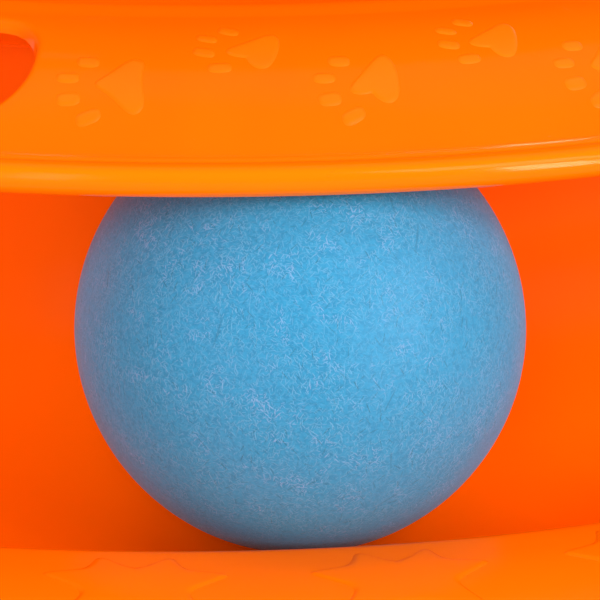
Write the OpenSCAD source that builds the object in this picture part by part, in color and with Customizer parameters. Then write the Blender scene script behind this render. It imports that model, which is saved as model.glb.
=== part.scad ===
// Cat ball track tower.
// Three moulded ring tracks stack on each other, each smaller than the one below.
// Each ring's shoulder roofs the track under it, so the ball there rolls but can't come out.
// A domed cap roofs the top track. The tower's axis is Z, its front is -Y and z = 0 is the floor.

/* [Balls] */
// Diameter of each foam ball
ball_d = 40; // [37:0.5:42]
// Gap left under a ball
ball_gap = 0.3; // [0.2:0.1:0.8]
// Gap between a ball and the rim that holds it in
rim_gap = 0.9; // [0.5:0.1:1.5]
// Where the lower, middle and upper balls lie, in degrees from the front towards +X
ball_turns = [8, -105, 135]; // [-180:1:180]

/* [Tower] */
// Radius of the lowest ball's path
path_r = 90; // [80:1:110]
// How far over a ball's middle the rim above it sits, as an angle at that middle
rim_angle = 53; // [48:0.5:58]
// Thickness of the moulded walls
wall = 2; // [1.6:0.1:2.4]
// Gap between the floor and the base's rim
rim_lift = 2; // [1:0.1:3]

/* [Track] */
// Radius of the track's hollow, seen in section
groove_r = 23; // [22:0.1:24]
// Angle that the hollow climbs past its lowest point on the outer side
groove_angle = 36.5; // [30:0.5:42]
// Radius of the rounded crest between the hollow and the shoulder
crest_r = 3; // [2.8:0.1:4]

/* [Shoulder] */
// Radius of the shoulder's curve, seen in section
shoulder_r = 22; // [20:0.5:26]
// Width of the shoulder from the crest to the rim
shoulder_w = 17.5; // [15:0.5:19]
// Radius of the bead along the rim
bead_r = 1.45; // [1:0.05:1.8]
// Distance from the shoulder's end to the bead's middle
bead_run = 1.7; // [1.2:0.1:2.2]

/* [Windows] */
// Number of windows in each shoulder that roofs a track
window_count = 4; // [3:1:8]
// Width of a window along the shoulder
window_w = 24; // [16:1:26]
// Distance from the crest to a window's straight edge
window_edge = 6.1; // [5:0.1:7]
// Depth of a window towards the rim
window_depth = 9.5; // [7:0.1:9.8]
// Radius of a window's two upper corners
window_corner = 3; // [1:0.1:4]
// Turn of the first window from the front, in degrees
window_turn = -14.1; // [-30:0.1:30]

/* [Seats] */
// Gap between a tier's locating ring and the wall that it sits in
seat_gap = 0.25; // [0.2:0.05:0.5]
// Height of the locating ring
ring_h = 4; // [2:0.5:6]
// Thickness of the locating ring
ring_t = 1.6; // [1.2:0.1:2.4]
// Bevel along the top of a wall and the foot of a locating ring
edge = 0.4; // [0.2:0.1:0.6]

/* [Cap] */
// Radius of the hollow inside the cap's crest, seen in section
valley_r = 8; // [6:0.5:10]
// Slope where the dome starts, in degrees
dome_slope = 20; // [12:1:26]

/* [Underside] */
// Diameter of a rubber foot pad
pad_d = 14; // [10:0.5:16]
// Thickness of a foot pad
pad_h = 3.5; // [3:0.1:4]
// How far a pad stands below its socket
pad_proud = 1.6; // [1:0.1:1.9]
// Gap round a pad in its socket
pad_gap = 0.2; // [0.1:0.05:0.4]
// Wall of a pad's socket
socket_wall = 2; // [1.5:0.1:3]
// Number of ribs between the base's track and its shoulder
rib_count = 12; // [6:6:18]
// Thickness of a rib
rib_t = 1.5; // [1:0.1:2]
// Height of a rib's foot over the underside of the track
rib_lift = 1.5; // [1:0.1:3]

/* [Hidden] */

$fn = 96;
pad_count = 6;
arc_step = 6;
ball_r = ball_d / 2;
mid = wall / 2;

// A section is drawn as [out, up] from the middle of a tier's ball at rest.
groove_c = [0, groove_r - ball_r - ball_gap];
groove_end = groove_angle - 90;
crest_c = groove_c + (groove_r + crest_r) * [cos(groove_end), sin(groove_end)];
crest_z = crest_c[1] + crest_r;
shoulder_c = [crest_c[0], crest_z - shoulder_r];
shoulder_end = acos(shoulder_w / shoulder_r);
bead_c = shoulder_c + shoulder_r * [cos(shoulder_end), sin(shoulder_end)]
    + bead_run * [sin(shoulder_end), -cos(shoulder_end)];
bead_z = bead_c[1] - bead_r;

// Levels are kept to this fine a step, so that a wall's top and the seat on it meet exactly.
level_grain = 0.01;
function levelled(z) = round(z / level_grain) * level_grain;

// A tier stands so far over the last, and so far in from it, that its rim holds the ball
// below in its track and leaves a slot for a paw.
hold_r = ball_r + rim_gap + bead_r;
rise = levelled(hold_r * sin(rim_angle) - bead_c[1]);
step = bead_c[0] - hold_r * cos(rim_angle);
base_z = levelled(rim_lift - bead_z);
function level_r(i) = path_r - i * step;
function level_z(i) = base_z + i * rise;

// The seat is level with the lowest point of the track's underside.
seat_z = groove_c[1] - groove_r - wall;
wall_out = -groove_r;
wall_in = wall_out - wall;
wall_top = seat_z + rise;
ring_out = wall_in + step - seat_gap;
ring_in = ring_out - ring_t;

// Points along an arc, both ends included
function arc(c, r, a, b) =
    let (n = max(2, ceil(abs(b - a) / arc_step)))
    [for (i = [0:n]) let (t = a + (b - a) * i / n) c + r * [cos(t), sin(t)]];

// Angle at which a circle about the hollow's middle passes under x
function under(r, x) = 270 - asin(-x / r);

// The upper face of the shoulder with its bead, from the crest outwards
function shoulder_face() = concat(
    arc(shoulder_c, shoulder_r, 90, shoulder_end),
    arc(bead_c, bead_r, shoulder_end + 90, shoulder_end - 135));

// The shoulder's underside, from the rim back to the crest
function shoulder_back() = arc(shoulder_c, shoulder_r - wall, shoulder_end, 90);

// The crest, from the hollow's side to its top, at a depth under its face
function crest(depth) = arc(crest_c, crest_r - depth, groove_end + 180, 90);

function reversed(list) = [for (i = [len(list) - 1:-1:0]) list[i]];

// The wall's top with both its edges bevelled, from inside to outside
wall_head = [[wall_in, wall_top - edge], [wall_in + edge, wall_top],
             [wall_out - edge, wall_top], [wall_out, wall_top - edge]];

// The locating ring, from the seat round to the track's underside
locating_ring = [[ring_out, seat_z], [ring_out, seat_z - ring_h + edge],
                 [ring_out - edge, seat_z - ring_h], [ring_in, seat_z - ring_h]];

function track_face() = concat(
    wall_head,
    arc(groove_c, groove_r, 180, 360 + groove_end),
    crest(0), shoulder_face());

function base_outline() = concat(
    track_face(), shoulder_back(), reversed(crest(wall)),
    arc(groove_c, groove_r + wall, 360 + groove_end, 180));

function tier_outline() = concat(
    track_face(), shoulder_back(), reversed(crest(wall)),
    arc(groove_c, groove_r + wall, 360 + groove_end, 270),
    locating_ring,
    arc(groove_c, groove_r + wall, under(groove_r + wall, ring_in), 180));

// The cap is drawn as [radius, up] from the axis and the middle of the top ball.
cap_shift = [level_r(3), rise];
valley_c = cap_shift + crest_c + (crest_r + valley_r) * [-cos(groove_end), -sin(groove_end)];
dome_x = valley_c[0] - valley_r * sin(dome_slope);
dome_r = dome_x / sin(dome_slope);
dome_c = [0, valley_c[1] - valley_r * cos(dome_slope) - dome_r * cos(dome_slope)];
seat_out = level_r(2) + wall_out;
cap_ring_out = level_r(2) + wall_in - seat_gap;
cap_ring_in = cap_ring_out - ring_t;

// Height of the dome's underside over a radius
function dome_back(x) = dome_c[1] + sqrt(pow(dome_r - wall, 2) - pow(x, 2));

function shifted(list) = [for (p = list) p + cap_shift];

// The cap's upper face, from the axis outwards
function cap_face() = concat(
    arc(dome_c, dome_r, 90, 90 - dome_slope),
    arc(valley_c, valley_r, 270 - dome_slope, 360 + groove_end),
    shifted(crest(0)), shifted(shoulder_face()));

// The cap's underside, from the rim back to the axis, with the seat and its locating ring
function cap_back() = concat(
    shifted(shoulder_back()), shifted(reversed(crest(wall))),
    arc(valley_c, valley_r + wall, 360 + groove_end, 270 - dome_slope),
    [[seat_out, dome_back(seat_out)], [seat_out, wall_top],
     [cap_ring_out, wall_top], [cap_ring_out, wall_top - ring_h + edge],
     [cap_ring_out - edge, wall_top - ring_h], [cap_ring_in, wall_top - ring_h],
     [cap_ring_in, dome_back(cap_ring_in)]],
    arc(dome_c, dome_r - wall, 90 - asin(cap_ring_in / (dome_r - wall)), 90));

// A window's outline as [along, out] from the middle of its straight edge: two corners
// and half an ellipse
function window_shape() = concat(
    [for (t = [-1:0.25:1]) [t * (window_w / 2 - window_corner), 0]],
    arc([window_w / 2 - window_corner, window_corner], window_corner, -60, 0),
    [for (t = [15:15:165]) [window_w / 2 * cos(t),
                            window_corner + (window_depth - window_corner) * sin(t)]],
    arc([window_corner - window_w / 2, window_corner], window_corner, 180, 240));

// The same outline bent round a tier whose crest has radius r
function bent(r) = [for (p = window_shape())
    let (out = r + window_edge + p[1], t = p[0] / (r + window_edge + window_corner) * 180 / PI)
    [out * sin(t), -out * cos(t)]];

module ring(r, outline) {
    rotate_extrude() translate([r, 0]) polygon(outline);
}

// The windows run straight up through the shoulder, the way the mould opens.
module windows(r) {
    for (i = [0:window_count - 1])
        rotate([0, 0, window_turn + i * 360 / window_count])
            translate([0, 0, bead_z])
                linear_extrude(crest_z - bead_z) polygon(bent(r + crest_c[0]));
}

// A tier over another one
module tier(i) {
    color("darkorange")
        translate([0, 0, level_z(i)])
            difference() {
                ring(level_r(i), tier_outline());
                windows(level_r(i));
            }
}

// Places its children at a foot pad, or at all of them
module at_pad(n) {
    rotate([0, 0, (n + 0.5) * 360 / pad_count]) translate([0, -path_r, 0]) children();
}

// The sockets hang from the middle of the track's wall.
module sockets() {
    difference() {
        for (n = [0:pad_count - 1])
            at_pad(n)
                translate([0, 0, pad_proud]) difference() {
                    cylinder(r = pad_d / 2 + pad_gap + socket_wall, h = base_z + groove_c[1] - pad_proud);
                    cylinder(r = pad_d / 2 + pad_gap, h = pad_h - pad_proud);
                }
        translate([0, 0, base_z])
            ring(path_r, arc(groove_c, groove_r + mid, 0, 360 - arc_step));
    }
}

// A rib fills the space under the crest, down to a level foot.
function rib_outline() =
    let (foot = seat_z + rib_lift)
    concat(
        arc(groove_c, groove_r + mid, asin((foot - groove_c[1]) / (groove_r + mid)), groove_end),
        crest(mid),
        arc(shoulder_c, shoulder_r - mid, 90, asin((foot - shoulder_c[1]) / (shoulder_r - mid))));

module ribs() {
    for (i = [0:rib_count - 1])
        rotate([0, 0, i * 360 / rib_count - 90])
            translate([path_r, 0, base_z]) rotate([90, 0, 0])
                translate([0, 0, -rib_t / 2]) linear_extrude(rib_t) polygon(rib_outline());
}

module base_tray() {
    color("darkorange") union() {
        translate([0, 0, base_z]) ring(path_r, base_outline());
        sockets();
        ribs();
    }
}

module middle_tier() {
    tier(1);
}

module upper_tier() {
    tier(2);
}

module top_cap() {
    color("darkorange")
        translate([0, 0, level_z(2)])
            difference() {
                rotate_extrude() polygon(concat(cap_face(), cap_back()));
                translate([0, 0, rise]) windows(level_r(3));
            }
}

module ball(i) {
    color("steelblue")
        rotate([0, 0, ball_turns[i]]) translate([0, -level_r(i), level_z(i)]) sphere(d = ball_d);
}

module foot_pad(n) {
    color("dimgray") at_pad(n) cylinder(d = pad_d, h = pad_h);
}

base_tray();
middle_tier();
upper_tier();
top_cap();
ball(0);  // ball_lower
ball(1);  // ball_middle
ball(2);  // ball_upper
foot_pad(0);  // foot_pad_1
foot_pad(1);  // foot_pad_2
foot_pad(2);  // foot_pad_3
foot_pad(3);  // foot_pad_4
foot_pad(4);  // foot_pad_5
foot_pad(5);  // foot_pad_6
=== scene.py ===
"""Looks of the cat ball track tower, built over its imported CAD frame.

The four mouldings are turned again from the CAD source's own section, with finer arcs, a low
ridge along the crest, a fine line and a soft root above the bead, and rolled window edges.
Raised paw prints and stars, ribs, sockets, foam balls and rubber pads are pieces of their own.
Sizes are in millimetres until a mesh is made.
"""

import math

import bmesh
import bpy
import numpy as np
from mathutils import Matrix, Vector


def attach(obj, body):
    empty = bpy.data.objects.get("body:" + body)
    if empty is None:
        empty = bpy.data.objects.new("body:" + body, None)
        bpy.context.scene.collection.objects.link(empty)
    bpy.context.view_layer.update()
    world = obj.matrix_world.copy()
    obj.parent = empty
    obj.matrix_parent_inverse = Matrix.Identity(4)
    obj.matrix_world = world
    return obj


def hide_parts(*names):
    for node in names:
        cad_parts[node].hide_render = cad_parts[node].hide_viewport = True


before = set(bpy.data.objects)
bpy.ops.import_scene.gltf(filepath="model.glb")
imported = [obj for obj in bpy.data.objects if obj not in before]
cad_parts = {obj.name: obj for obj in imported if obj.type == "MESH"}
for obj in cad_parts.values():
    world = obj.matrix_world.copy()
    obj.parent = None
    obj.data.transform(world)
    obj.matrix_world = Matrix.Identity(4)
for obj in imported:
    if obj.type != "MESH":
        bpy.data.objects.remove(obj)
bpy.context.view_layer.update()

MM = 0.001

# Sizes shared with the CAD source

BALL_R = 20.0
BALL_GAP = 0.3
RIM_GAP = 0.9
BALL_TURNS = (8.0, -105.0, 135.0)
PATH_R = 90.0
RIM_ANGLE = 53.0
WALL = 2.0
RIM_LIFT = 2.0
GROOVE_R = 23.0
GROOVE_ANGLE = 36.5
CREST_R = 3.0
SHOULDER_R = 22.0
SHOULDER_W = 17.5
BEAD_R = 1.45
BEAD_RUN = 1.7
WINDOW_COUNT = 4
WINDOW_W = 24.0
WINDOW_TURN = -14.1
SEAT_GAP = 0.25
RING_H = 4.0
RING_T = 1.6
EDGE = 0.4
VALLEY_R = 8.0
DOME_SLOPE = 20.0
PAD_D = 14.0
PAD_H = 3.5
PAD_PROUD = 1.6
PAD_GAP = 0.2
PAD_COUNT = 6
SOCKET_WALL = 2.0
RIB_COUNT = 12
RIB_T = 1.5
RIB_LIFT = 1.5
LEVEL_GRAIN = 0.01


def polar(centre, radius, angle):
    """The point at an angle in degrees on a circle."""
    turn = math.radians(angle)
    return (centre[0] + radius * math.cos(turn), centre[1] + radius * math.sin(turn))


def levelled(height):
    """A height rounded to the CAD source's grain."""
    return round(height / LEVEL_GRAIN) * LEVEL_GRAIN


# The section is drawn as (out, up) from the middle of a tier's ball at rest.

GROOVE_C = (0.0, GROOVE_R - BALL_R - BALL_GAP)
GROOVE_END = GROOVE_ANGLE - 90
CREST_C = polar(GROOVE_C, GROOVE_R + CREST_R, GROOVE_END)
CREST_Z = CREST_C[1] + CREST_R
SHOULDER_C = (CREST_C[0], CREST_Z - SHOULDER_R)
SHOULDER_END = math.degrees(math.acos(SHOULDER_W / SHOULDER_R))
RIM_END = polar(SHOULDER_C, SHOULDER_R, SHOULDER_END)
BEAD_C = polar(RIM_END, BEAD_RUN, SHOULDER_END - 90)
BEAD_Z = BEAD_C[1] - BEAD_R
HOLD_R = BALL_R + RIM_GAP + BEAD_R
RISE = levelled(HOLD_R * math.sin(math.radians(RIM_ANGLE)) - BEAD_C[1])
STEP = BEAD_C[0] - HOLD_R * math.cos(math.radians(RIM_ANGLE))
BASE_Z = levelled(RIM_LIFT - BEAD_Z)
SEAT_Z = GROOVE_C[1] - GROOVE_R - WALL
WALL_OUT = -GROOVE_R
WALL_IN = WALL_OUT - WALL
WALL_TOP = SEAT_Z + RISE
RING_OUT = WALL_IN + STEP - SEAT_GAP
RING_IN = RING_OUT - RING_T


def level_r(level):
    """The radius of a tier's ball path."""
    return PATH_R - level * STEP


def level_z(level):
    """The height of the middle of a tier's ball."""
    return BASE_Z + level * RISE


# Windows in plan: their upper edge lies nearer the crest than in the CAD, as the photo shows it.
# The far part is a superellipse, and the spares are what a hole leaves free beyond it.

WINDOW_EDGE = 3.95
WINDOW_DEPTH = 11.65
WINDOW_CORNER = 4.1
CORNER_TURN = 60
FAR_POWER = 2.5
OUTLINE_ARC = 4
FAR_ARC = 3
EDGE_PARTS = 12
OUTLINE_ROUNDS = 3
OUTLINE_POINTS = 240
WINDOW_REACH = 9.1
WINDOW_MARGIN = 2.6
WINDOW_MIDDLE = 0.45
TOP_SPARE = 0.8
BACK_SPARE = 0.05

# A window's edge: its lip on the upper face, its wall and the thinned underside near the crest.

LIP_R = 0.5
LIP_MORE = 0.65
LIP_POWER = 0.75
THIN_RUN = 2.25
THIN_DROP = 0.05
FOOT_RUN = 0.04
PATCH_STEPS = 5
LIP_STEPS = 5
WALL_STEPS = 2
UNDER_STEPS = 3

# Finish of the section: steps of arcs in degrees, the crest's low ridge, the line over the bead.

FINE_ARC = 2.6
SMALL_ARC = 9.0
CREST_ARC = 0.7
DOME_ARC = 0.9
WALL_PARTS = 5
BEAD_ROOT_R = 0.6
BEAD_BACK = 135
EDGE_ROLL = 0.12
CREST_RIDGE = (0.12, 0.42, 0.42, 0.42)
CREST_RUN = (0.2, 2.25)
CREST_SPARE = 0.2
CREST_FALL = (0.7, 0.9, 0.6)
CREST_SWELL = 4
LINE_LIFT = 0.06
LINE_RUN = 1.0
LINE_SKEW = 1.5
LINE_STEPS = 8
CREASE = math.radians(32)
TINY = 1e-6


def arc(centre, radius, start, end, step=FINE_ARC):
    """Points along an arc, both ends included."""
    count = max(2, math.ceil(abs(end - start) / step))
    return [polar(centre, radius, start + (end - start) * i / count) for i in range(count + 1)]


def rim(ridge):
    """Two runs: the shoulder's upper face from the crest outwards; its line, root and bead."""
    reach = math.sqrt(BEAD_R**2 + 2 * BEAD_R * BEAD_ROOT_R)
    end = SHOULDER_END + math.degrees((reach - BEAD_RUN) / SHOULDER_R)
    root_c = polar(polar(SHOULDER_C, SHOULDER_R, end), BEAD_ROOT_R, end)
    lean = math.degrees(math.atan2(reach, BEAD_ROOT_R))
    near = math.degrees(math.acos((CREST_RUN[1] + CREST_SPARE) / SHOULDER_R))
    crown = [
        (x, z + crest_ridge(x - CREST_C[0], ridge))
        for x, z in arc(SHOULDER_C, SHOULDER_R, 90, near, CREST_ARC)
    ]
    shoulder = crown + arc(SHOULDER_C, SHOULDER_R, near, end + LINE_RUN)[1:]
    line = []
    for step in range(1, LINE_STEPS + 1):
        share = step / LINE_STEPS
        lift = LINE_LIFT * math.sin(math.pi * share**LINE_SKEW) ** 2
        line.append(polar(SHOULDER_C, SHOULDER_R + lift, end + LINE_RUN - LINE_RUN * share))
    root = arc(root_c, BEAD_ROOT_R, end + 180, SHOULDER_END + lean + 180, SMALL_ARC)
    bead = arc(BEAD_C, BEAD_R, SHOULDER_END + lean, SHOULDER_END - BEAD_BACK, SMALL_ARC)
    return shoulder, line + root[1:-1] + bead


def crest_ridge(out, ridge):
    """How far the low ridge along the crest lifts the face, by plan distance from the crest."""
    share = np.clip((np.asarray(out, float) - CREST_RUN[0]) / (CREST_RUN[1] - CREST_RUN[0]), 0, 1)
    first, second, third = CREST_FALL
    return ridge * (1 - share * (first + share * (second - third * share)))


def shoulder_back():
    """The shoulder's underside, from the rim back to the crest."""
    return arc(SHOULDER_C, SHOULDER_R - WALL, SHOULDER_END, 90)


def crest(depth, ridge=0.0):
    """The crest, from the hollow's side up to its ridge, at a depth under its face."""
    points = arc(CREST_C, CREST_R - depth, GROOVE_END + 180, 90, SMALL_ARC / 2)
    shares = np.linspace(0, 1, len(points))
    return [(x, z + ridge * t**CREST_SWELL) for (x, z), t in zip(points, shares)]


def softened(points, roll=EDGE_ROLL):
    """An open run of straight edges with three points round each inner corner."""
    made = [points[0]]
    for trio in zip(points, points[1:], points[2:]):
        before, corner, after = (np.array(p, float) for p in trio)
        a, b = (corner + (side - corner) * min(0.5, roll / np.linalg.norm(side - corner))
                for side in (before, after))
        made += [tuple(a), tuple((a + b + 2 * corner) / 4), tuple(b)]
    return made + [points[-1]]


def straight(start, end, count):
    """Points along a line, both ends included."""
    start, end = np.array(start), np.array(end)
    return [tuple(start + (end - start) * i / count) for i in range(count + 1)]


def under_side(level):
    """The lower side from the crest's back to the inner wall, with a tier's locating ring."""
    shell_r = GROOVE_R + WALL
    crest_back = crest(WALL)[::-1][1:]
    outer = arc(GROOVE_C, shell_r, 360 + GROOVE_END, 270)
    if level == 0:
        hollow = outer[1:] + arc(GROOVE_C, shell_r, 270, 180)[1:]
    else:
        foot_z = SEAT_Z - RING_H
        foot = 270 - math.degrees(math.asin(-RING_IN / shell_r))
        ring = softened([(RING_OUT / 2, SEAT_Z), (RING_OUT, SEAT_Z), (RING_OUT, foot_z + EDGE),
                         (RING_OUT - EDGE, foot_z), (RING_IN, foot_z),
                         polar(GROOVE_C, shell_r, foot)])
        hollow = outer[1:] + ring + arc(GROOVE_C, shell_r, foot, 180)[1:]
    inner = straight((WALL_IN, GROOVE_C[1]), (WALL_IN, WALL_TOP - 2 * EDGE), WALL_PARTS)[1:-1]
    return crest_back + hollow + inner


def tier_runs(level):
    """A tier's closed section as named runs of points, from the inner wall's head outwards."""
    top, low = WALL_TOP - EDGE, WALL_TOP - 2 * EDGE
    head = softened([(WALL_IN, low), (WALL_IN, top), (WALL_IN + EDGE, WALL_TOP),
                     (WALL_OUT - EDGE, WALL_TOP), (WALL_OUT, top), (WALL_OUT, low)])
    wall = straight((WALL_OUT, low), (WALL_OUT, GROOVE_C[1]), WALL_PARTS)[1:-1]
    hollow = arc(GROOVE_C, GROOVE_R, 180, 360 + GROOVE_END)
    shoulder, bead = rim(CREST_RIDGE[level])
    return {
        "inside": head + wall + hollow + crest(0, CREST_RIDGE[level])[1:-2],
        "shoulder": shoulder,
        "rim": bead,
        "back": shoulder_back(),
        "under": under_side(level),
    }


# The cap's section, as (radius, up) from the axis and the middle of the top ball

CAP_LEVEL = 3
CAP_SHIFT = np.array([level_r(CAP_LEVEL), RISE])
VALLEY_C = tuple(CAP_SHIFT + np.array(polar(CREST_C, CREST_R + VALLEY_R, GROOVE_END + 180)))
DOME_X = VALLEY_C[0] - VALLEY_R * math.sin(math.radians(DOME_SLOPE))
DOME_R = DOME_X / math.sin(math.radians(DOME_SLOPE))
DOME_C = (0.0, VALLEY_C[1] - (VALLEY_R + DOME_R) * math.cos(math.radians(DOME_SLOPE)))
SEAT_OUT = level_r(2) + WALL_OUT
CAP_RING_OUT = level_r(2) + WALL_IN - SEAT_GAP
CAP_RING_IN = CAP_RING_OUT - RING_T


def dome_back(radius):
    """Height of the dome's underside over a radius."""
    return DOME_C[1] + math.sqrt((DOME_R - WALL) ** 2 - radius**2)


def shifted(points):
    """The section's points moved to the cap's."""
    return [tuple(np.array(p) + CAP_SHIFT) for p in points]


def cap_runs():
    """The cap's section from the axis outwards and back, as named runs."""
    shoulder, bead = rim(CREST_RIDGE[CAP_LEVEL])
    under_dome = 90 - math.degrees(math.asin(CAP_RING_IN / (DOME_R - WALL)))
    foot_z = WALL_TOP - RING_H
    seat = softened([(SEAT_OUT, dome_back(SEAT_OUT)), (SEAT_OUT, WALL_TOP),
                     (CAP_RING_OUT, WALL_TOP), (CAP_RING_OUT, foot_z + EDGE),
                     (CAP_RING_OUT - EDGE, foot_z), (CAP_RING_IN, foot_z),
                     (CAP_RING_IN, dome_back(CAP_RING_IN))])
    return {
        "inside": arc(DOME_C, DOME_R, 90, 90 - DOME_SLOPE, DOME_ARC)
        + arc(VALLEY_C, VALLEY_R, 270 - DOME_SLOPE, 360 + GROOVE_END)[1:]
        + shifted(crest(0, CREST_RIDGE[CAP_LEVEL])[1:-1]),
        "shoulder": shifted(shoulder),
        "rim": shifted(bead),
        "back": shifted(shoulder_back()),
        "under": shifted(crest(WALL)[::-1][1:])
        + arc(VALLEY_C, VALLEY_R + WALL, 360 + GROOVE_END, 270 - DOME_SLOPE)[1:]
        + seat
        + arc(DOME_C, DOME_R - WALL, under_dome, 90, DOME_ARC)[1:],
    }


def around(radius, turn, height):
    """A point by its radius, its turn in degrees from the front towards +X, and its height."""
    angle = np.radians(turn)
    return np.stack([radius * np.sin(angle), -radius * np.cos(angle), height + 0 * angle], -1)


class Sheets:
    """Collects rows of points and the quads between them, then makes one mesh."""

    def __init__(self):
        self.points, self.faces, self.count = [], [], 0

    def add(self, points):
        """Adds points and returns their indices."""
        points = np.asarray(points, float)
        flat = points.reshape(-1, 3)
        index = np.arange(self.count, self.count + len(flat)).reshape(points.shape[:-1])
        self.points.append(flat)
        self.count += len(flat)
        return index

    def strip(self, lower, upper, closed=True, keep=None):
        """Quads between two rows of indices."""
        here = np.arange(len(lower) if closed else len(lower) - 1)
        if keep is not None:
            here = here[keep[here]]
        there = (here + 1) % len(lower)
        quads = np.stack([lower[here], lower[there], upper[there], upper[here]], axis=-1)
        self.faces += quads.tolist()

    def grow(self, row, points):
        """Adds a closed row of points with the quads between it and the row before."""
        after = self.add(points)
        self.strip(row, after)
        return after

    def fan(self, row, point):
        """Adds a point with the triangles between it and a closed row."""
        apex = np.full(len(row), self.add([point])[0])
        self.faces += np.stack([row, np.roll(row, -1), apex], axis=-1).tolist()

    def mesh(self, name, crease=CREASE):
        """A smooth mesh in metres, creased where its faces meet at a steep angle."""
        data = bpy.data.meshes.new(name)
        data.from_pydata((np.concatenate(self.points) * MM).tolist(), [], self.faces)
        data.validate()
        face_outwards(data)
        data.shade_smooth()
        if crease:
            data.set_sharp_from_angle(angle=crease)
        piece = bpy.data.objects.new(name, data)
        bpy.context.scene.collection.objects.link(piece)
        return piece


def face_outwards(data, join=None):
    """Turns a mesh's faces outwards, after joining points closer than a distance if asked."""
    mesh = bmesh.new()
    mesh.from_mesh(data)
    if join:
        bmesh.ops.remove_doubles(mesh, verts=mesh.verts, dist=join)
    bmesh.ops.recalc_face_normals(mesh, faces=mesh.faces)
    mesh.to_mesh(data)
    mesh.free()


def window_shape():
    """A window's outline as (along, out) from the middle of its straight edge, evenly spaced."""
    half, corner = WINDOW_W / 2, WINDOW_CORNER
    power = 2 / FAR_POWER
    right = arc((half - corner, corner), corner, -CORNER_TURN, 0, OUTLINE_ARC)
    far = [
        (half * math.copysign(abs(math.cos(t)) ** power, math.cos(t)),
         corner + (WINDOW_DEPTH - corner) * math.sin(t) ** power)
        for t in np.radians(np.arange(FAR_ARC, 180, FAR_ARC))
    ]
    left = arc((corner - half, corner), corner, 180, 180 + CORNER_TURN, OUTLINE_ARC)
    edge = straight((corner - half, 0.0), (half - corner, 0.0), EDGE_PARTS)
    outline = np.array(edge + right + far + left)
    for _ in range(OUTLINE_ROUNDS):
        outline = 0.5 * outline + 0.25 * (np.roll(outline, 1, 0) + np.roll(outline, -1, 0))
    return resampled(outline, OUTLINE_POINTS)


def resampled(outline, count):
    """A closed outline at evenly spaced points."""
    closed = np.vstack([outline, outline[:1]])
    run = np.concatenate([[0], np.cumsum(np.linalg.norm(np.diff(closed, axis=0), axis=1))])
    at = np.arange(count) * run[-1] / count
    return np.stack([np.interp(at, run, closed[:, k]) for k in (0, 1)], axis=-1)


class Shoulder:
    """The outer shoulder of one tier: where a plan distance from the crest lies in space."""

    def __init__(self, level):
        self.ridge = CREST_RIDGE[level]
        self.radius = level_r(level) + CREST_C[0]
        self.height = level_z(level) + SHOULDER_C[1]

    def top(self, out):
        """The height of the upper face."""
        return self.height + np.sqrt(SHOULDER_R**2 - out**2) + crest_ridge(out, self.ridge)

    def back(self, out):
        """The height of the lower face."""
        return self.height + np.sqrt((SHOULDER_R - WALL) ** 2 - out**2)

    def point(self, turn, out, lift=0.0):
        """The point on the upper face, raised along the face's normal."""
        out = np.asarray(out, float)
        slope = out / SHOULDER_R
        rise = np.sqrt(1 - slope**2)
        return around(self.radius + out + lift * slope, turn, self.top(out) + lift * rise)

    def over(self, turn, places, height):
        """Points by their (turn, out) from a turn, at a height."""
        return around(self.radius + places[:, 1], turn + places[:, 0], height)


def rect_loop(half, rows):
    """Grid places (column, row) round the edge of a window's rectangle of cells, in turn."""
    first, last = rows
    return (
        [(c, first) for c in range(-half, half)] + [(half, r) for r in range(first, last)]
        + [(c, last) for c in range(half, -half, -1)]
        + [(-half, r) for r in range(last, first, -1)]
    )


def window_cells(shoulder, pitch):
    """How many columns a window's hole takes to each side, and the turn of a millimetre."""
    to_turn = 180 / math.pi / (shoulder.radius + WINDOW_REACH)
    return math.ceil((WINDOW_W / 2 + WINDOW_MARGIN) * to_turn / pitch), to_turn


def hole_rows(outs, spare):
    """The first and last row of the rectangle of cells that holds a window."""
    outs = np.asarray(outs)
    near, far = WINDOW_EDGE - WINDOW_MARGIN, WINDOW_EDGE + WINDOW_DEPTH + spare
    inside = np.where((outs > near) & (outs < far))[0]
    return inside[0] - 1, inside[-1] + 1


def cut_windows(sheets, shoulder, top_grid, back_grid, tops, backs):
    """Fills the holes left in a shoulder's two faces with the rolled edges of its windows.

    tops and backs are each row's plan distance from the crest.
    """
    columns = len(top_grid[0])
    pitch = 360 / columns
    half, to_turn = window_cells(shoulder, pitch)
    middle = np.array([0.0, WINDOW_EDGE + WINDOW_DEPTH * WINDOW_MIDDLE])

    def angle_of(places):
        rel = (places - middle) * np.array([1 / to_turn, 1.0])
        return np.arctan2(rel[:, 1], rel[:, 0])

    top_loop = rect_loop(half, hole_rows(tops, TOP_SPARE))
    back_loop = rect_loop(half, hole_rows(backs, BACK_SPARE))
    top_places = np.array([(c * pitch, tops[r]) for c, r in top_loop])
    back_places = np.array([(c * pitch, backs[r]) for c, r in back_loop])

    # The loop on the upper face sets the number of points; the lower one is matched to it.
    outline = window_shape()
    outline = np.stack([outline[:, 0] * to_turn, outline[:, 1] + WINDOW_EDGE], axis=-1)
    edge = places_at(angle_of(top_places), angle_of(outline), outline)
    rows, foot = window_rows(shoulder, top_places, edge, np.array([to_turn, 1.0]))
    for window in range(WINDOW_COUNT):
        start = window * columns // WINDOW_COUNT
        turn = WINDOW_TURN + window * 360 / WINDOW_COUNT
        row, back = (
            np.array([grid[r][(start + c) % columns] for c, r in loop])
            for grid, loop in ((top_grid, top_loop), (back_grid, back_loop))
        )
        for places, height in rows:
            row = sheets.grow(row, shoulder.over(turn, places, height))
        zip_loops(sheets, shoulder, turn, row, foot, angle_of(foot), back, back_places,
                  angle_of(back_places))


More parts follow.
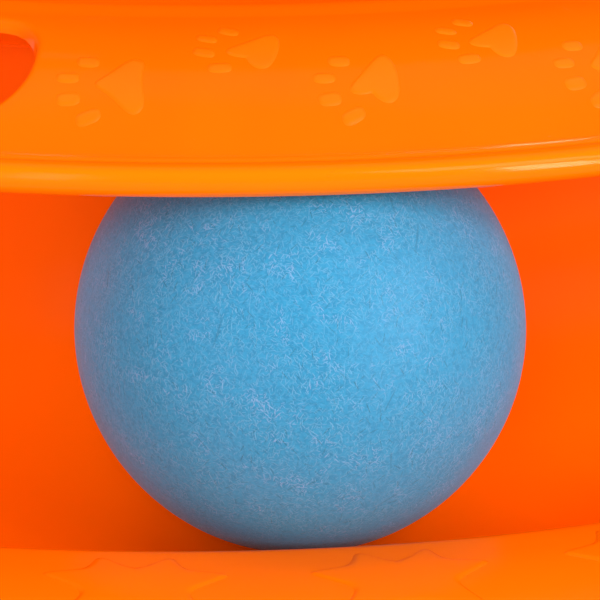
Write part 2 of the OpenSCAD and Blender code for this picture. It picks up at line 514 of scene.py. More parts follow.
def window_rows(shoulder, places, edge, per_mm):
    """The rows from a hole in the upper face over the window's lip to its foot on the lower.

    Each is (places, heights). places is the hole's loop, edge the window's outline.
    """
    normal = outline_normal(edge, per_mm)
    inward = np.clip(-normal[:, 1], 0, 1)
    lip = LIP_R + LIP_MORE * inward**LIP_POWER
    slope = (shoulder.top(edge[:, 1] + normal[:, 1] * lip) - shoulder.top(edge[:, 1])) / lip
    tangent = np.sqrt(1 + slope**2)
    lip_edge = edge + normal * (lip * (1 - slope / tangent))[:, None] * per_mm
    rows = []
    for step in range(1, PATCH_STEPS + 1):
        at = places + (lip_edge - places) * (step / PATCH_STEPS)
        rows.append((at, shoulder.top(at[:, 1])))
    lip_start = np.arctan2(1.0, -slope)
    lip_z = shoulder.top(lip_edge[:, 1]) - lip / tangent
    for step in range(1, LIP_STEPS + 1):
        angle = lip_start + (math.pi - lip_start) * step / LIP_STEPS
        at = edge + normal * (lip * (1 + np.cos(angle)))[:, None] * per_mm
        rows.append((at, lip_z + lip * np.sin(angle)))
    drop = THIN_DROP * inward + (lip_z - shoulder.back(edge[:, 1])) * (1 - inward)
    for step in range(1, WALL_STEPS + 1):
        rows.append((edge, lip_z - drop * step / WALL_STEPS))
    foot = edge + normal * (FOOT_RUN + THIN_RUN * inward)[:, None] * per_mm
    for step in range(1, UNDER_STEPS + 1):
        share = step / UNDER_STEPS
        height = (lip_z - drop) * (1 - share) + shoulder.back(foot[:, 1]) * share
        rows.append((edge + (foot - edge) * share, height))
    return rows, foot


def outline_normal(places, per_mm):
    """Unit vectors in plan that point away from the window, as (along, out)."""
    flat = places / per_mm
    along = np.roll(flat, -1, 0) - np.roll(flat, 1, 0)
    along /= np.linalg.norm(along, axis=1)[:, None]
    return np.stack([along[:, 1], -along[:, 0]], axis=-1)


def zip_loops(sheets, shoulder, turn, inner, inner_places, inner_angle, outer, outer_places,
              outer_angle):
    """Joins two loops on the lower face that hold different numbers of points."""
    matched = places_at(outer_angle, inner_angle, inner_places)
    for step in range(1, PATCH_STEPS):
        at = outer_places + (matched - outer_places) * (step / PATCH_STEPS)
        row = sheets.add(shoulder.over(turn, at, shoulder.back(at[:, 1])))
        sheets.strip(row, outer)
        outer = row
    stitch(sheets, outer, outer_angle, inner, inner_angle)


def places_at(angle, angles, places):
    """Places at some angles, read between a loop's own places at its angles."""
    return np.stack(
        [np.interp(angle, angles, places[:, k], period=2 * math.pi) for k in (0, 1)], axis=-1
    )


def stitch(sheets, outer, outer_angle, inner, inner_angle):
    """Triangles between two loops about one middle, whatever their counts."""
    turn = 2 * math.pi
    a, b = np.argsort(outer_angle % turn), np.argsort(inner_angle % turn)
    outer, outer_angle = outer[a].tolist(), outer_angle[a] % turn
    inner, inner_angle = inner[b].tolist(), inner_angle[b] % turn
    i = j = 0
    n, m = len(outer), len(inner)
    while i < n or j < m:
        next_i = outer_angle[i + 1] if i + 1 < n else outer_angle[0] + turn
        next_j = inner_angle[j + 1] if j + 1 < m else inner_angle[0] + turn
        if j >= m or (i < n and next_i <= next_j):
            sheets.faces.append([outer[i % n], inner[j % m], outer[(i + 1) % n]])
            i += 1
        else:
            sheets.faces.append([outer[i % n], inner[j % m], inner[(j + 1) % m]])
            j += 1


def shell(name, level, columns):
    """Turns a tier's or the cap's section round the axis, with windows above the base."""
    cap = level == CAP_LEVEL
    runs = cap_runs() if cap else tier_runs(level)
    radius = 0.0 if cap else level_r(level)
    height = level_z(level - 1 if cap else level)
    sheets = Sheets()
    turns = WINDOW_TURN + np.arange(columns) * 360 / columns
    grids, rows = {}, []
    for key, run in runs.items():
        grids[key] = [
            sheets.add(around(np.full(columns, radius + out), turns, height + up))
            for out, up in run
            if radius + out > TINY
        ]
        rows += [(key, i) for i in range(len(grids[key]))]
    shoulder = Shoulder(level)
    tops, backs = ([radius + out - shoulder.radius for out, _ in runs[key]]
                   for key in ("shoulder", "back"))
    holes, keep = {}, None
    if level:
        half = window_cells(shoulder, 360 / columns)[0]
        keep = np.ones(columns, bool)
        for window in range(WINDOW_COUNT):
            start = window * columns // WINDOW_COUNT
            keep[np.arange(start - half, start + half) % columns] = False
        holes = {"shoulder": range(*hole_rows(tops, TOP_SPARE)),
                 "back": range(*hole_rows(backs, BACK_SPARE))}
    for (key_a, a), (key_b, b) in zip(rows, rows[1:] + ([] if cap else rows[:1])):
        cut = key_a == key_b and a in holes.get(key_a, ())
        sheets.strip(grids[key_a][a], grids[key_b][b], keep=keep if cut else None)
    if cap:
        sheets.fan(grids["inside"][0][::-1], (0, 0, height + runs["inside"][0][1]))
        sheets.fan(grids["under"][-1], (0, 0, height + runs["under"][-1][1]))
    if level:
        cut_windows(sheets, shoulder, grids["shoulder"], grids["back"], tops, backs)
    return sheets.mesh(name)


# Ribs, sockets and foot pads

RIB_SOFT = 0.2
HUB_R = 0.2
SOCKET_ROLL = 0.25
SOCKET_COLUMNS = 64
PAD_COLUMNS = 72
PAD_TREAD = 0.35
PAD_EDGE = 0.6
PAD_ARC = 15
PAD_RINGS = (1.6, 3.1, 4.6)
TREAD_OUT = 0.35
TREAD_IN = 0.15


def rib_outline():
    """A rib's section: it fills the space under the crest down to a level foot."""
    mid = WALL / 2
    foot = SEAT_Z + RIB_LIFT
    inner = math.degrees(math.asin((foot - GROOVE_C[1]) / (GROOVE_R + mid)))
    outer = math.degrees(math.asin((foot - SHOULDER_C[1]) / (SHOULDER_R - mid)))
    back = arc(SHOULDER_C, SHOULDER_R - mid, 90, outer)
    return arc(GROOVE_C, GROOVE_R + mid, inner, GROOVE_END) + crest(mid)[1:] + back[1:]


def base_ribs():
    """The ribs between the base's track and its shoulder, with softened edges."""
    sheets = Sheets()
    outline = np.array(rib_outline())
    inward = outline.mean(0) - outline
    inset = outline + inward / np.linalg.norm(inward, axis=1)[:, None] * RIB_SOFT
    side = RIB_T / 2
    layers = ((inset, -side), (outline, RIB_SOFT - side), (outline, side - RIB_SOFT),
              (inset, side))
    for turn in np.arange(RIB_COUNT) * 360 / RIB_COUNT:
        rows = [
            sheets.add(around(PATH_R + points[:, 0], turn, BASE_Z + points[:, 1])
                       + around(aside, turn + 90, 0.0))
            for points, aside in layers
        ]
        for lower, upper in zip(rows, rows[1:]):
            sheets.strip(lower, upper)
        sheets.faces += [rows[0][::-1].tolist(), rows[-1].tolist()]
    return sheets.mesh("base_ribs")


def turned(sheets, middle, profile, columns):
    """Turns an open section round an upright axis through a point."""
    turns = np.arange(columns) * 360 / columns
    rows = [
        sheets.add(around(np.full(columns, r), turns, z) + np.array([*middle, 0]))
        for r, z in profile
    ]
    for lower, upper in zip(rows, rows[1:]):
        sheets.strip(lower, upper)
    return rows


def pad_middle(number):
    """The middle of a foot pad in plan."""
    return around(PATH_R, (number + 0.5) * 360 / PAD_COUNT, 0.0)[:2]


def base_sockets():
    """The pad sockets that hang from the track's underside and end inside its wall."""
    sheets = Sheets()
    inner = PAD_D / 2 + PAD_GAP
    outer = inner + SOCKET_WALL
    profile = softened([(HUB_R, PAD_H), (inner, PAD_H), (inner, PAD_PROUD), (outer, PAD_PROUD),
                        (outer, PAD_H)], SOCKET_ROLL)
    mid_r = GROOVE_R + WALL / 2
    for number in range(PAD_COUNT):
        middle = pad_middle(number)
        rows = turned(sheets, middle, profile, SOCKET_COLUMNS)
        head = np.concatenate(sheets.points)[rows[-1]]
        aside = np.hypot(head[:, 0], head[:, 1]) - PATH_R
        head[:, 2] = BASE_Z + GROOVE_C[1] - np.sqrt(mid_r**2 - aside**2)
        head = sheets.grow(rows[-1], head)
        sheets.fan(rows[0], (*middle, PAD_H))
        sheets.fan(head, (*middle, BASE_Z + GROOVE_C[1] - mid_r))
    return sheets.mesh("base_sockets")


def foot_pad(number):
    """One rubber pad, its edges rounded and its foot grooved for grip."""
    sheets = Sheets()
    middle = pad_middle(number)
    foot = [(HUB_R, 0.0)]
    for ring in PAD_RINGS:
        foot += [(ring - TREAD_OUT, 0.0), (ring - TREAD_IN, PAD_TREAD),
                 (ring + TREAD_IN, PAD_TREAD), (ring + TREAD_OUT, 0.0)]
    side = PAD_D / 2 - PAD_EDGE
    foot += arc((side, PAD_EDGE), PAD_EDGE, -90, 0, PAD_ARC)
    head = arc((side, PAD_H - PAD_EDGE), PAD_EDGE, 0, 90, PAD_ARC) + [(HUB_R, PAD_H)]
    rows = turned(sheets, middle, foot + head, PAD_COLUMNS)
    sheets.fan(rows[0], (*middle, 0.0))
    sheets.fan(rows[-1], (*middle, PAD_H))
    return sheets.mesh(f"foot_pad_{number + 1}_rubber")


# Paw prints and stars, as (along, out) in plan from their middles

PRINT_PADS = (
    ((-0.75, -0.3), (-0.7, 0.0), (-0.2, 0.35), (0.7, 0.98), (1.4, 1.65), (2.0, 2.2),
     (2.7, 2.38), (3.25, 2.05), (3.5, 1.5), (3.45, 0.6), (3.3, -0.6), (3.42, -1.75),
     (3.55, -2.4), (3.25, -2.85), (2.6, -2.98), (1.8, -2.6), (1.0, -1.85), (0.1, -1.05),
     (-0.5, -0.62)),
    ((-1.08, 0.3), (-0.95, 0.75), (-0.4, 0.92), (0.3, 0.9), (0.85, 0.8), (1.1, 1.25),
     (1.65, 1.65), (2.3, 1.75), (2.95, 1.4), (3.3, 0.65), (3.5, -0.55), (3.5, -1.75),
     (3.25, -2.7), (2.75, -3.1), (2.1, -2.9), (1.1, -1.95), (0.1, -0.95), (-0.7, -0.15)),
)
PRINT_PAD_MIDDLE = (1.9, -0.4)
PRINT_TOES = (
    # along, out, half length, half width, tilt in degrees
    (-1.42, -2.5, 1.0, 0.6, 2),
    (-3.1, -0.75, 1.0, 0.52, 0),
    (-2.92, 1.2, 1.02, 0.58, -4),
    (-1.15, 2.6, 1.08, 0.55, -20),
)
TOE_POWERS = (0.7, 0.8)
TOE_ARC = 12
PRINT_REACH = 12.0
PRINT_LENGTH = 7.6
PRINT_ROWS = (
    # out, pitch, shift along, how many fewer, tilt in degrees, pads in turn
    (12.17, 22.2, -2.07, 0, 0, (0, 1)),
    (8.0, 22.6, -0.4, 1, 17, (1, 1)),
)
PRINT_LIFT = 0.11
PRINT_BEVEL = 0.32
STAR_COUNT = 30
STAR_TURN = -1.2
STAR_HALF = (
    (0.15, 2.95), (1.6, 2.35), (2.9, 1.35), (3.7, 1.25), (4.15, 2.4), (4.9, 3.35), (6.8, 3.75),
    (8.5, 4.1), (8.5, 4.5), (7.0, 5.35), (5.2, 6.3), (4.85, 6.95), (5.5, 8.0), (7.0, 9.9),
    (6.6, 10.4), (4.6, 9.9), (2.2, 9.2), (0.0, 9.0),
)
STAR = STAR_HALF + tuple((-along, out) for along, out in STAR_HALF[-2::-1])
STAR_MIDDLE = (0.0, 5.7)
STAR_LIFT = 0.22
STAR_BEVEL = 0.6
STAR_RINGS = 6
BOSS_RINGS = 4
BOSS_SINK = 0.12
BOSS_SIDE = ((0.6, 0.72), (1.0, 0.93), (1.5, 1.0))  # inwards in bevels, up in lifts


def smoothed(outline, rounds=2):
    """A closed outline with its corners cut, round after round."""
    outline = np.array(outline)
    for _ in range(rounds):
        after = np.roll(outline, -1, 0)
        outline = np.stack([outline * 0.75 + after * 0.25, outline * 0.25 + after * 0.75], 1)
        outline = outline.reshape(-1, 2)
    return outline


def turned_by(points, degrees):
    """Points in plan turned about the middle."""
    turn = math.radians(degrees)
    c, s = math.cos(turn), math.sin(turn)
    return points @ np.array([[c, s], [-s, c]])


def emboss(sheets, shoulder, turn, outline, middle, lift, bevel, rings=BOSS_RINGS):
    """A low boss on the shoulder: a sunk foot, a bevelled side and a face that follows it."""
    outline, middle = np.asarray(outline), np.asarray(middle, float)
    to_turn = 180 / math.pi / (shoulder.radius + PRINT_REACH)
    unit = outline - middle
    unit = unit / np.linalg.norm(unit, axis=1)[:, None]

    def raised(at, up):
        return shoulder.point(turn + at[..., 0] * to_turn, at[..., 1], up)

    row = sheets.add(raised(outline + unit * BOSS_SINK, -BOSS_SINK))
    sheets.fan(row, raised(middle, -BOSS_SINK))
    row = sheets.grow(row, raised(outline, 0.0))
    for aside, up in BOSS_SIDE:
        row = sheets.grow(row, raised(outline - unit * (bevel * aside), lift * up))
    inner = outline - unit * bevel * BOSS_SIDE[-1][0]
    for ring in range(1, rings):
        row = sheets.grow(row, raised(middle + (inner - middle) * (1 - ring / rings), lift))
    sheets.fan(row, raised(middle, lift))


def print_parts(pad, tilt):
    """One paw print's outlines with their middles: a pad and four toes."""
    parts = [(smoothed(PRINT_PADS[pad]), np.array(PRINT_PAD_MIDDLE))]
    angle = np.radians(np.arange(0, 360, TOE_ARC))
    ways = np.stack([np.cos(angle), np.sin(angle)], axis=-1)
    toe = np.sign(ways) * np.abs(ways) ** TOE_POWERS
    for along, out, length, width, toe_tilt in PRINT_TOES:
        middle = np.array([along, out])
        parts.append((turned_by(toe * (length, width), toe_tilt) + middle, middle))
    return [(turned_by(outline, tilt), turned_by(middle, tilt)) for outline, middle in parts]


def paw_prints(name, level):
    """Two staggered rows of prints between the windows of one shoulder."""
    sheets = Sheets()
    shoulder = Shoulder(level)
    sector = 360 / WINDOW_COUNT
    reach = shoulder.radius + PRINT_REACH
    window = math.degrees(WINDOW_W / (shoulder.radius + WINDOW_REACH))
    free = sector - window - math.degrees(PRINT_LENGTH / reach)
    for out, pitch, shift, fewer, tilt, pads in PRINT_ROWS:
        count = 1 + int(free / math.degrees(PRINT_ROWS[0][1] / reach)) - fewer
        for side in range(WINDOW_COUNT):
            centre = WINDOW_TURN + (side + 0.5) * sector
            for place in range(count):
                along = shift + (place - (count - 1) / 2) * pitch
                turn = centre + math.degrees(along / reach)
                for outline, middle in print_parts(pads[place % 2], tilt):
                    emboss(sheets, shoulder, turn, outline + (0, out), middle + (0, out),
                           PRINT_LIFT, PRINT_BEVEL)
    return sheets.mesh(name, crease=None)


def stars(name):
    """A row of wide six-pointed stars round the base's shoulder."""
    sheets = Sheets()
    shoulder = Shoulder(0)
    outline = smoothed(STAR)
    for star in range(STAR_COUNT):
        emboss(sheets, shoulder, STAR_TURN + star * 360 / STAR_COUNT, outline, STAR_MIDDLE,
               STAR_LIFT, STAR_BEVEL, STAR_RINGS)
    return sheets.mesh(name, crease=None)


# Foam balls

BALL_CELLS = 92
BALL_SEED = 11
BALL_WOBBLE = 0.1
BALL_WAVES = (14, 2.5, 7.0)
DENT_SPREAD = 0.55
BALL_DENTS = (
    # direction, half angle in degrees, depth
    ((-0.95, -0.12, 0.28), 15, 0.42),
    ((0.72, -0.55, -0.42), 10, 0.18),
    ((0.1, -0.75, 0.65), 9, 0.16),
    ((-0.4, 0.75, -0.5), 13, 0.3),
    ((0.55, 0.6, 0.58), 11, 0.25),
)


def waves(directions, seed, count, low, high):
    """Smooth random values over a sphere, about -1 to 1, from waves of random rates."""
    rng = np.random.default_rng(seed)
    total = np.zeros(len(directions))
    for _ in range(count):
        axis = rng.normal(size=3)
        axis /= np.linalg.norm(axis)
        rate, phase = rng.uniform(low, high), rng.uniform(0, 2 * math.pi)
        total += np.sin(directions @ axis * rate + phase)
    return total / math.sqrt(count)


def foam_ball(name, level):
    """A foam ball: slightly uneven, with a few shallow dents, and nowhere over its CAD size."""
    n = BALL_CELLS
    grid = np.tan(np.linspace(-math.pi / 4, math.pi / 4, n + 1))
    u, v = np.meshgrid(grid, grid, indexing="ij")
    one = np.ones_like(u)
    sides = [(u, v, one), (v, u, -one), (one, u, v), (-one, v, u), (v, one, u), (u, -one, v)]
    sheets = Sheets()
    turn = math.radians(BALL_TURNS[level])
    cos, sin = math.cos(turn), math.sin(turn)
    spin = np.array([[cos, -sin, 0], [sin, cos, 0], [0, 0, 1]])
    centre = around(level_r(level), BALL_TURNS[level], level_z(level))
    for side in sides:
        unit = np.stack(side, axis=-1).reshape(-1, 3)
        unit /= np.linalg.norm(unit, axis=1)[:, None]
        wave = np.clip(waves(unit, BALL_SEED + level, *BALL_WAVES), -1, 1)
        low = BALL_WOBBLE * (0.5 + 0.5 * wave)
        for direction, reach, depth in BALL_DENTS:
            direction = np.array(direction) / np.linalg.norm(direction)
            away = np.degrees(np.arccos(np.clip(unit @ direction, -1, 1))) / reach
            low += depth * np.exp(-0.5 * (away / DENT_SPREAD) ** 2)
        points = unit * (BALL_R - low)[:, None]
        index = sheets.add((points @ spin.T + centre).reshape(n + 1, n + 1, 3))
        for row in range(n):
            sheets.strip(index[row], index[row + 1], closed=False)
    piece = sheets.mesh(name, crease=None)
    face_outwards(piece.data, join=TINY)
    return piece


# Materials


class Nodes:
    """A material's node tree with short ways to add and join nodes."""

    def __init__(self, name):
        self.material = bpy.data.materials.new(name)
        self.material.use_nodes = True
        self.tree = self.material.node_tree
        self.tree.nodes.clear()
        out = self.add("ShaderNodeOutputMaterial")
        self.shader = self.add("ShaderNodeBsdfPrincipled")
        self.join(self.shader.outputs[0], out.inputs[0])

    def add(self, kind, values=None, **settings):
        """A node, with its sockets set to constants or joined to other sockets."""
        node = self.tree.nodes.new(kind)
        for key, value in settings.items():
            setattr(node, key, value)
        for key, value in (values or {}).items():
            if isinstance(value, bpy.types.NodeSocket):
                self.join(value, node.inputs[key])
            elif value is not None:
                node.inputs[key].default_value = value
        return node

    def join(self, source, target):
        self.tree.links.new(source, target)

    def set(self, **values):
        """Sets sockets of the shader, with spaces in their names written as underscores."""
        for key, value in values.items():
            self.shader.inputs[key.replace("_", " ")].default_value = value

    def place(self, scale=(1, 1, 1), shift=(0, 0, 0)):
        """Object coordinates, stretched and shifted."""
        where = self.add("ShaderNodeTexCoord").outputs["Object"]
        values = {"Vector": where, "Location": shift, "Scale": scale}
        return self.add("ShaderNodeMapping", values).outputs[0]

    def noise(self, where, scale, detail, roughness, distortion=0.0):
        """Noise about 0.5. The scale is in cells to the metre."""
        values = {"Vector": where, "Scale": scale, "Detail": detail, "Roughness": roughness,
                  "Distortion": distortion}
        return self.add("ShaderNodeTexNoise", values).outputs["Fac"]

    def span(self, value, low, high, to_low=0.0, to_high=1.0, smooth=False):
        """A value's range between two limits, stretched to another range."""
        values = {"Value": value, "From Min": low, "From Max": high, "To Min": to_low,
                  "To Max": to_high}
        kind = "SMOOTHSTEP" if smooth else "LINEAR"
        return self.add("ShaderNodeMapRange", values, interpolation_type=kind).outputs[0]

    def math(self, operation, first, second=None):
        """Arithmetic on one or two values."""
        return self.add("ShaderNodeMath", {0: first, 1: second}, operation=operation).outputs[0]

    def mix(self, share, first, second):
        """A mix of two colours."""
        values = {0: share, 6: first, 7: second}
        return self.add("ShaderNodeMix", values, data_type="RGBA").outputs[2]

    def along(self, operation, first, second=None, result=0):
        """Vector arithmetic. A result of 1 is a length or a product."""
        values = {0: first, 1: second}
        return self.add("ShaderNodeVectorMath", values, operation=operation).outputs[result]

    def bump(self, height, distance, strength, after=None):
        """A normal bumped by a height, on top of another normal if given."""
        values = {"Height": height, "Distance": distance, "Strength": strength, "Normal": after}
        return self.add("ShaderNodeBump", values).outputs[0]

    def ticks(self, shift, scale, half_width, half_length, least):
        """Short straight fibres that lie in the surface, one in a cell, each its own way."""
        where = self.place(shift=shift)
        cells = self.add("ShaderNodeTexVoronoi", {"Vector": where, "Scale": scale})
        local = self.along("SUBTRACT", where, cells.outputs["Position"])
        random = self.along("SUBTRACT", cells.outputs["Color"], (0.5, 0.5, 0.5))
        facing = self.add("ShaderNodeTexCoord").outputs["Normal"]
        across = self.along("NORMALIZE", self.along("CROSS_PRODUCT", facing, random))
        length = self.along("CROSS_PRODUCT", facing, across)
        shape = None
        for way, half in ((across, half_width), (length, half_length)):
            off = self.math("ABSOLUTE", self.along("DOT_PRODUCT", local, way, result=1))
            inside = self.span(off, half * 0.4, half, 1.0, 0.0, smooth=True)
            shape = inside if shape is None else self.math("MULTIPLY", shape, inside)
        share = self.along("DOT_PRODUCT", cells.outputs["Color"], (0.0, 0.3, 0.7), result=1)
        return self.math("MULTIPLY", shape, self.span(share, least, 0.95))


# Noise is given by its scale, detail, roughness and distortion. Depths are in metres.
# The plastic is fluorescent: it sends back more red than the red light that falls on it.

ORANGE = (1.07, 0.16, 0.0003, 1)
ORANGE_DEEP = (1.05, 0.148, 0.0003, 1)
# Painted glow: the lighter orange of the band over the bead.
BEAD_PAINTED_GLOW = (1.07, 0.222, 0.0006, 1)
PRINT_ORANGE = (1.07, 0.192, 0.001, 1)
# Painted glow: a faint constant red emission that lifts the red of the plastic's shade.
PAINTED_GLOW = (1.0, 0.06, 0.0, 1)
PAINTED_GLOW_LEVEL = 0.11
GLOSS_TINT = (1.0, 0.8, 0.5, 1)
TRAY_FINISH = (0.22, 0.07)  # roughness and gloss
TIER_FINISH = (0.11, 0.2)
PRINT_FINISH = (0.4, 0.2)
CLOUD = (38, 3, 0.55, 0.4)
SMEAR = (120, 4, 0.6)
SMEAR_STRETCH = (1, 1, 3.5)
SINK = (60, 1.5, 0.4)
SINK_DEPTH = 0.00008
HAIR = (420, 1, 0.3, 1.4)
HAIR_STRETCH = (1, 1, 0.25)
HAIR_MASK = (900, 1, 0.4)
HAIR_DEPTH = 0.00001
FROST = (5200, 2, 0.6)
FROST_DEPTH = 0.00001
BEAD_FADE = 0.0006
BEAD_LOW = 0.0004
BEAD_HIGH = 0.0002


def plastic(name, colour, deep, roughness, gloss, bead=None, frosted=False):
    """Glossy moulded plastic: slight flow and sink, faint smears and hairline scratches.

    The thick bead, from its lowest to its highest point, is painted a lighter orange: painted
    glow for the light that passes through it.
    """
    n = Nodes(name)
    here = n.place()
    cloud = n.noise(here, *CLOUD)
    ground = n.mix(n.span(cloud, 0.35, 0.68, smooth=True), colour, deep)
    if bead:
        low, high = bead
        height = n.along("DOT_PRODUCT", here, (0.0, 0.0, 1.0), result=1)
        above = n.span(height, low - BEAD_FADE, low + BEAD_LOW, smooth=True)
        below = n.span(height, high - BEAD_FADE, high + BEAD_HIGH, 1.0, 0.0, smooth=True)
        # Painted glow: the bead's band is mixed to a lighter orange for light passing through it.
        ground = n.mix(n.math("MULTIPLY", above, below), ground, BEAD_PAINTED_GLOW)
    n.join(ground, n.shader.inputs["Base Color"])
    smear = n.noise(n.place(SMEAR_STRETCH), *SMEAR)
    n.join(n.span(smear, 0.35, 0.75, roughness - 0.02, roughness + 0.03),
           n.shader.inputs["Roughness"])
    normal = n.bump(n.noise(here, *SINK), SINK_DEPTH, 0.5)
    hair = n.math("SUBTRACT", n.noise(n.place(HAIR_STRETCH), *HAIR), 0.5)
    mask = n.span(n.noise(here, *HAIR_MASK), 0.6, 0.7, smooth=True)
    scratch = n.span(n.math("ABSOLUTE", hair), 0.0, 0.012, 1.0, 0.0)
    normal = n.bump(n.math("MULTIPLY", scratch, mask), -HAIR_DEPTH, 0.6, normal)
    if frosted:
        normal = n.bump(n.noise(here, *FROST), FROST_DEPTH, 0.7, normal)
    n.join(normal, n.shader.inputs["Normal"])
    # The emission is painted glow, a constant red light sent out by the plastic itself.
    n.set(IOR=1.46, Specular_IOR_Level=gloss, Specular_Tint=GLOSS_TINT, Emission_Color=PAINTED_GLOW,
          Emission_Strength=PAINTED_GLOW_LEVEL)
    return n.material


FOAM = (0.034, 0.345, 0.615, 1)
FOAM_DEEP = (0.022, 0.275, 0.515, 1)
FOAM_PALE = (0.185, 0.49, 0.76, 1)
FOAM_DARK = (0.015, 0.17, 0.3, 1)
FOAM_SCUFF = (0.33, 0.49, 0.8, 1)
FOAM_SCRATCH = (0.02, 0.2, 0.37, 1)
FOAM_FIBRES = (
    # shift, scale, half width, half length, least share that shows
    ((0.3, 0.1, 0.7), 1350, 0.00006, 0.00046, 0.3),
    ((1.3, 2.1, 0.2), 1750, 0.00005, 0.00036, 0.25),
    ((2.6, 0.4, 1.9), 2200, 0.00005, 0.0003, 0.2),
    ((0.9, 3.4, 2.8), 2800, 0.000045, 0.00024, 0.2),
)
DARK_FIBRES = ((4.2, 1.1, 3.3), 1000, 0.00006, 0.0006, 0.45)
SCRATCHES = ((7.7, 5.5, 1.2), 170, 0.0001, 0.0016, 0.6)
PATCHES = (110, 3, 0.6)
FELT = (2300, 3, 0.65, 0.6)
CROWDS = (260, 2.5, 0.6)
SCUFFS = (330, 3, 0.7, 0.8)
GRAIN_DEPTH = 0.00005


def foam(name):
    """Closed-cell foam: matt blue, its skin full of short fine fibres, pale and dark."""
    n = Nodes(name)
    here = n.place()
    fine = n.noise(here, *FELT)
    colour = n.mix(n.span(fine, 0.34, 0.62, smooth=True), FOAM_DEEP, FOAM)
    pale = n.ticks(*FOAM_FIBRES[0])
    for layer in FOAM_FIBRES[1:]:
        pale = n.math("MAXIMUM", pale, n.ticks(*layer))
    crowd = n.span(n.noise(here, *CROWDS), 0.35, 0.65, 0.45, 1.0, smooth=True)
    pale = n.math("MULTIPLY", pale, crowd)
    colour = n.mix(n.ticks(*DARK_FIBRES), colour, FOAM_DARK)
    colour = n.mix(pale, colour, FOAM_PALE)
    scuff = n.span(n.noise(here, *SCUFFS), 0.5, 0.66, smooth=True)
    colour = n.mix(n.math("MULTIPLY", scuff, pale), colour, FOAM_SCUFF)
    colour = n.mix(n.ticks(*SCRATCHES), colour, FOAM_SCRATCH)
    patch = n.span(n.noise(here, *PATCHES), 0.3, 0.7, 0.0, 0.06)
    n.join(n.mix(patch, colour, FOAM_SCUFF), n.shader.inputs["Base Color"])
    height = n.math("ADD", pale, fine)
    n.join(n.bump(height, GRAIN_DEPTH, 0.9), n.shader.inputs["Normal"])
    # The sheen's purplish-pink tint is a painted reflection of the orange tower on the ball's
    # grazing edges.
    n.set(Roughness=0.55, IOR=1.45, Specular_IOR_Level=0.35, Sheen_Weight=0.19,
          Sheen_Roughness=0.5, Sheen_Tint=(0.8, 0.62, 0.82, 1))
    return n.material


RUBBER = (0.028, 0.028, 0.03, 1)
RUBBER_DUSTY = (0.06, 0.058, 0.056, 1)
DUST = (700, 4, 0.6)
RUBBER_GRAIN = (3800, 2, 0.6)


def rubber(name):
    """Soft black rubber with dust in its grain."""
    n = Nodes(name)
    here = n.place()
    dust = n.span(n.noise(here, *DUST), 0.5, 0.75, smooth=True)
    n.join(n.mix(dust, RUBBER, RUBBER_DUSTY), n.shader.inputs["Base Color"])
    n.join(n.bump(n.noise(here, *RUBBER_GRAIN), GRAIN_DEPTH, 0.5), n.shader.inputs["Normal"])
    n.set(Roughness=0.72, Specular_IOR_Level=0.4)
    return n.material


# Stage, lamps and camera

FLOOR_HALF = 20.0
FLOOR_DROP = 0.0001
FLOOR_COLOUR = (0.52, 0.52, 0.51, 1)
WORLD_LIGHT = (0.96, 0.98, 1.0, 1)
WORLD_LEVEL = 0.2
CAMERA_AT = (-14.33, -528.44, 174.42)
CAMERA_YAW = 3.49
CAMERA_PITCH = 18.02
CAMERA_ROLL = 1.43
CAMERA_LENS = 314.3
CAMERA_SENSOR = 36
CAMERA_CLIP = (0.01, 100)
AIM = (0.012, -0.095, 0.04)
LAMPS = (
    # name, turn from the front towards +X, elevation, distance, width, height, watts,
    # lights matt surfaces, shows in glossy ones
    ("strip_right", 44, 10, 0.55, 0.1, 0.27, 1.7, False, True),
    ("softbox_right", 44, 16, 1.3, 0.34, 0.4, 6.0, True, False),
    ("softbox_right_high", 44, 41, 1.3, 0.5, 0.44, 3.5, True, True),
    ("softbox_left_strip", -12, 24, 1.3, 0.14, 1.1, 1.4, True, True),
    ("softbox_left", -26, 22, 1.3, 0.9, 0.7, 7.4, True, False),
    ("softbox_side", 82, 22, 1.3, 0.7, 0.5, 1.8, True, False),
    ("softbox_top", 175, 68, 1.8, 2.2, 1.6, 14.0, True, False),
    ("softbox_top_left", -90, 74, 1.3, 0.5, 0.5, 2.2, True, False),
    ("softbox_back", 172, 28, 1.5, 1.4, 0.9, 8.0, True, True),
)


def make_floor():
    """A wide pale floor just under the pads."""
    half, z = FLOOR_HALF, -FLOOR_DROP
    data = bpy.data.meshes.new("floor")
    data.from_pydata([(-half, -half, z), (half, -half, z), (half, half, z), (-half, half, z)], [],
                     [(0, 1, 2, 3)])
    floor = bpy.data.objects.new("floor", data)
    bpy.context.scene.collection.objects.link(floor)
    matt = Nodes("floor_matt")
    matt.set(Base_Color=FLOOR_COLOUR, Roughness=0.8, Specular_IOR_Level=0.0)
    data.materials.append(matt.material)


def make_world():
    """Even pale surroundings."""
    world = bpy.data.worlds.new("studio")
    bpy.context.scene.world = world
    world.use_nodes = True
    tree = world.node_tree
    tree.nodes.clear()
    out = tree.nodes.new("ShaderNodeOutputWorld")
    background = tree.nodes.new("ShaderNodeBackground")
    background.inputs[0].default_value = WORLD_LIGHT
    background.inputs[1].default_value = WORLD_LEVEL
    tree.links.new(background.outputs[0], out.inputs[0])


def make_lamps():
    """The soft lamps round the tower."""
    for name, turn, elevation, distance, width, height, watts, lights, shows in LAMPS:
        data = bpy.data.lights.new(name, "AREA")
        data.shape = "RECTANGLE"
        data.size, data.size_y = width, height
        data.energy = watts
        rise = math.radians(elevation)
        away = Vector(around(math.cos(rise), turn, math.sin(rise)))
        lamp = bpy.data.objects.new(name, data)
        lamp.location = Vector(AIM) + away * distance
        lamp.rotation_mode = "QUATERNION"
        lamp.rotation_quaternion = (-away).to_track_quat("-Z", "Y")
        lamp.visible_camera = False
        lamp.visible_diffuse = lights
        lamp.visible_glossy = shows
        bpy.context.scene.collection.objects.link(lamp)


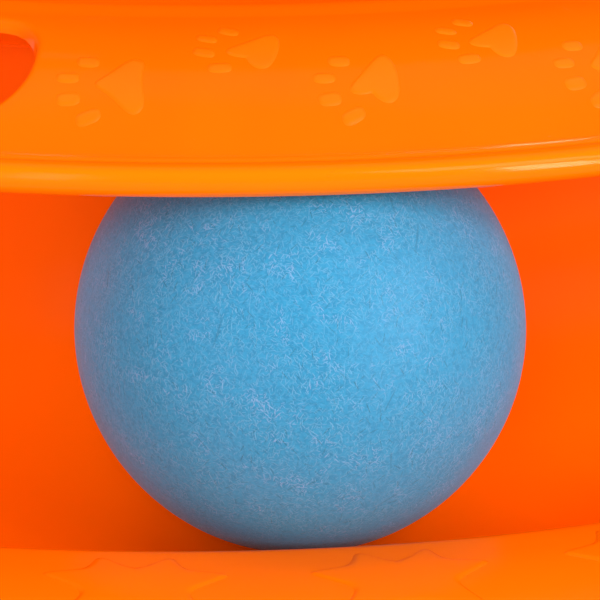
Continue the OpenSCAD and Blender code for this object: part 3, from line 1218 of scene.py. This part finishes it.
def make_camera():
    """The photo's camera."""
    data = bpy.data.cameras.new("camera")
    data.lens = CAMERA_LENS
    data.sensor_width = CAMERA_SENSOR
    data.clip_start, data.clip_end = CAMERA_CLIP
    camera = bpy.data.objects.new("camera", data)
    bpy.context.scene.collection.objects.link(camera)
    yaw, pitch, roll = (math.radians(a) for a in (CAMERA_YAW, CAMERA_PITCH, CAMERA_ROLL))
    ahead = Vector((math.sin(yaw) * math.cos(pitch), math.cos(yaw) * math.cos(pitch),
                    -math.sin(pitch)))
    right = Vector((math.cos(yaw), -math.sin(yaw), 0))
    up = right.cross(ahead)
    side = math.cos(roll) * right + math.sin(roll) * up
    top = -math.sin(roll) * right + math.cos(roll) * up
    turn = Matrix((side, top, -ahead)).transposed().to_4x4()
    camera.matrix_world = Matrix.Translation(Vector(CAMERA_AT) * MM) @ turn
    bpy.context.scene.camera = camera


def dress(piece, material, slot, body, *nodes):
    """Gives a piece its finish and its body, and hides the CAD nodes that it stands for."""
    piece.data.materials.append(material)
    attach(piece, body)
    if nodes:
        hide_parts(*nodes)


TIERS = (
    # body, CAD node, columns of the mesh
    ("base", "base_tray", 480),
    ("middle", "middle_tier", 480),
    ("upper", "upper_tier", 400),
    ("cap", "top_cap", 400),
)


def make_tower():
    """Every piece of the tower, dressed and on its body."""
    orange = plastic("orange_plastic", ORANGE, ORANGE_DEEP, *TRAY_FINISH)
    frosted = plastic("orange_print", PRINT_ORANGE, ORANGE, *PRINT_FINISH, frosted=True)
    blue = foam("blue_foam")
    black = rubber("pad_rubber_black")
    for level, (body, node, columns) in enumerate(TIERS):
        piece = shell(f"{body}_shell", level, columns)
        bead = [(level_z(level) + BEAD_C[1] + side * BEAD_R) * MM for side in (-1, 1)]
        finish = TIER_FINISH if level else TRAY_FINISH
        moulded = plastic(f"orange_{body}", ORANGE, ORANGE_DEEP, *finish, bead=bead)
        dress(piece, moulded, "tower_plastic", body, node)
    for piece in (base_ribs(), base_sockets(), stars("base_stars")):
        dress(piece, orange, "tower_plastic", "base")
    for level, (body, _, _) in enumerate(TIERS[1:], 1):
        dress(paw_prints(f"{body}_prints", level), frosted, "tower_plastic", body)
    for level, body in enumerate(("ball_lower", "ball_middle", "ball_upper")):
        ball = foam_ball(f"{body}_foam", level)
        dress(ball, blue, "ball_foam", body, body)
    for number in range(PAD_COUNT):
        dress(foot_pad(number), black, "pad_rubber", "base", f"foot_pad_{number + 1}")


make_camera()
make_tower()
make_floor()
make_world()
make_lamps()
bpy.context.scene.view_settings.view_transform = "Standard"
